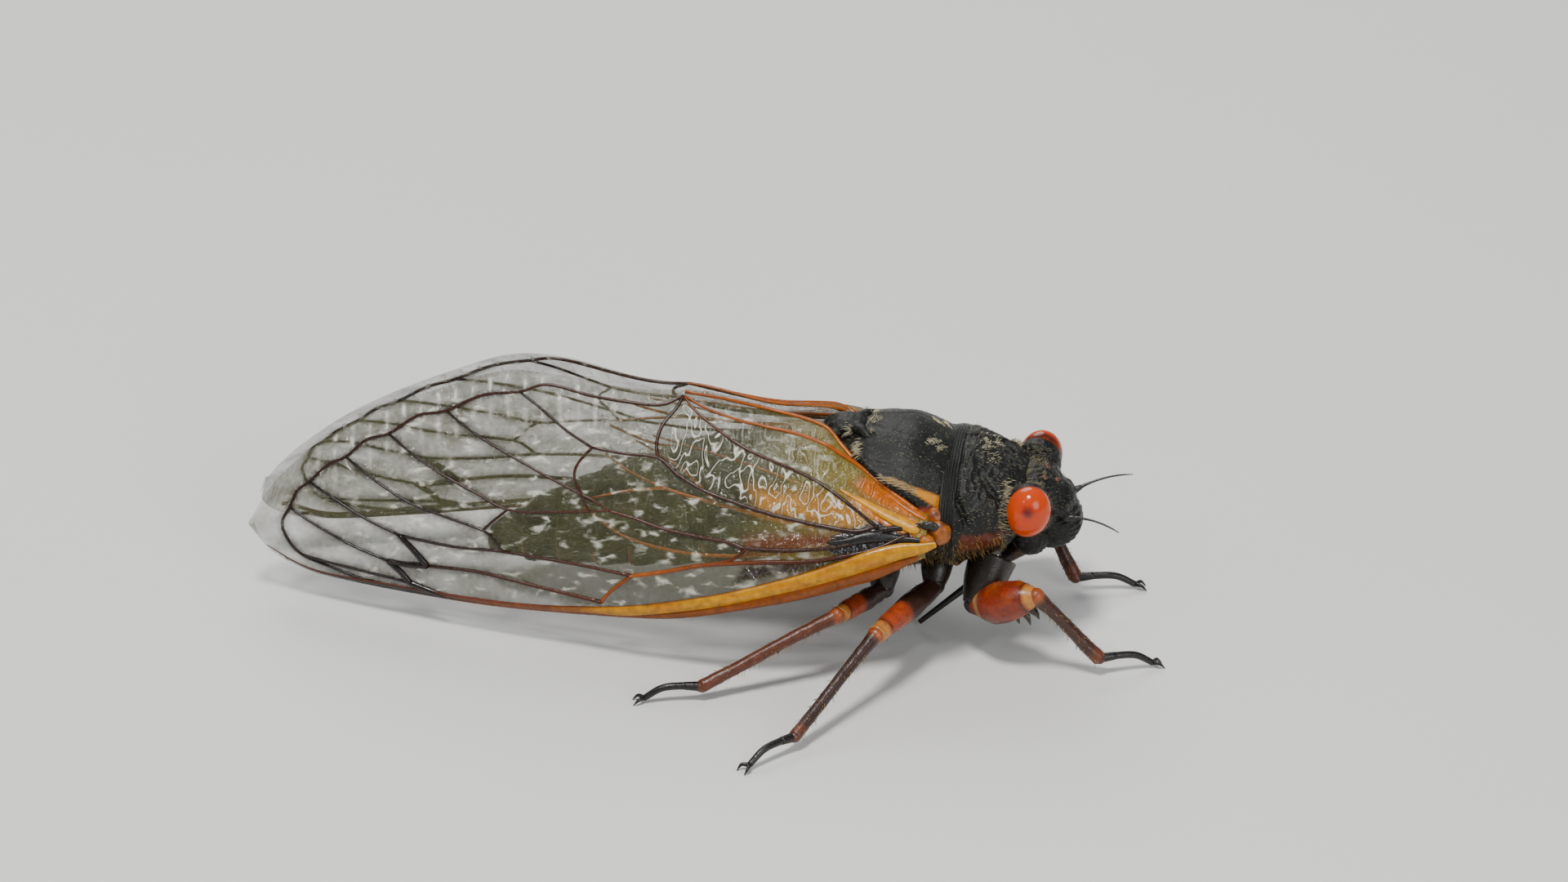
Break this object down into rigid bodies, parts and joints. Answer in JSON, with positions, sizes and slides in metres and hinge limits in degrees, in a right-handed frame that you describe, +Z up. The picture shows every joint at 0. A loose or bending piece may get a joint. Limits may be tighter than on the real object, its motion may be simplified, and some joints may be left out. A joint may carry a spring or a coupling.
{
  "type": "periodical cicada model",
  "caption": "Life-size adult periodical cicada standing on its six feet, with its clear veined wings folded like a roof over the body.",
  "frame": {"origin": "on the floor, under the middle of the whole model's bounding box", "axes": "+X towards the head, +Y to the animal's left, +Z up"},
  "size_m": [0.0442, 0.029, 0.0127],
  "materials": {
    "cuticle": "near-black insect shell with a soft shine, fine pale specks and short hairs",
    "black_cuticle": "black shell of feelers, beak and feet",
    "eye": "glossy red-orange compound eye with fine facets",
    "leg_orange": "orange-red to dark brown shell of the thighs",
    "leg_brown": "dark reddish-brown shell of the shins with pale bristles",
    "wing": "clear wrinkled membrane with orange veins that darken towards the tip"
  },
  "bodies": {
    "root": {"head": "cuticle", "postclypeus": "cuticle", "pronotum": "cuticle", "prothorax": "cuticle", "mesonotum": "cuticle", "thorax": "cuticle", "abdomen": "cuticle", "genital_capsule": "cuticle", "eye_right": "eye", "antenna_right": "black_cuticle", "forewing_right": "wing", "hindwing_right": "wing", "operculum_right": "cuticle", "front_coxa_right": "cuticle", "front_femur_right": "leg_orange", "front_tibia_right": "leg_brown", "front_tarsus_right": "black_cuticle", "mid_coxa_right": "cuticle", "mid_femur_right": "leg_orange", "mid_tibia_right": "leg_brown", "mid_tarsus_right": "black_cuticle", "hind_coxa_right": "cuticle", "hind_femur_right": "leg_orange", "hind_tibia_right": "leg_brown", "hind_tarsus_right": "black_cuticle", "eye_left": "eye", "antenna_left": "black_cuticle", "forewing_left": "wing", "hindwing_left": "wing", "operculum_left": "cuticle", "front_coxa_left": "cuticle", "front_femur_left": "leg_orange", "front_tibia_left": "leg_brown", "front_tarsus_left": "black_cuticle", "mid_coxa_left": "cuticle", "mid_femur_left": "leg_orange", "mid_tibia_left": "leg_brown", "mid_tarsus_left": "black_cuticle", "hind_coxa_left": "cuticle", "hind_femur_left": "leg_orange", "hind_tibia_left": "leg_brown", "hind_tarsus_left": "black_cuticle", "rostrum": "black_cuticle"}
  },
  "joints": []
}
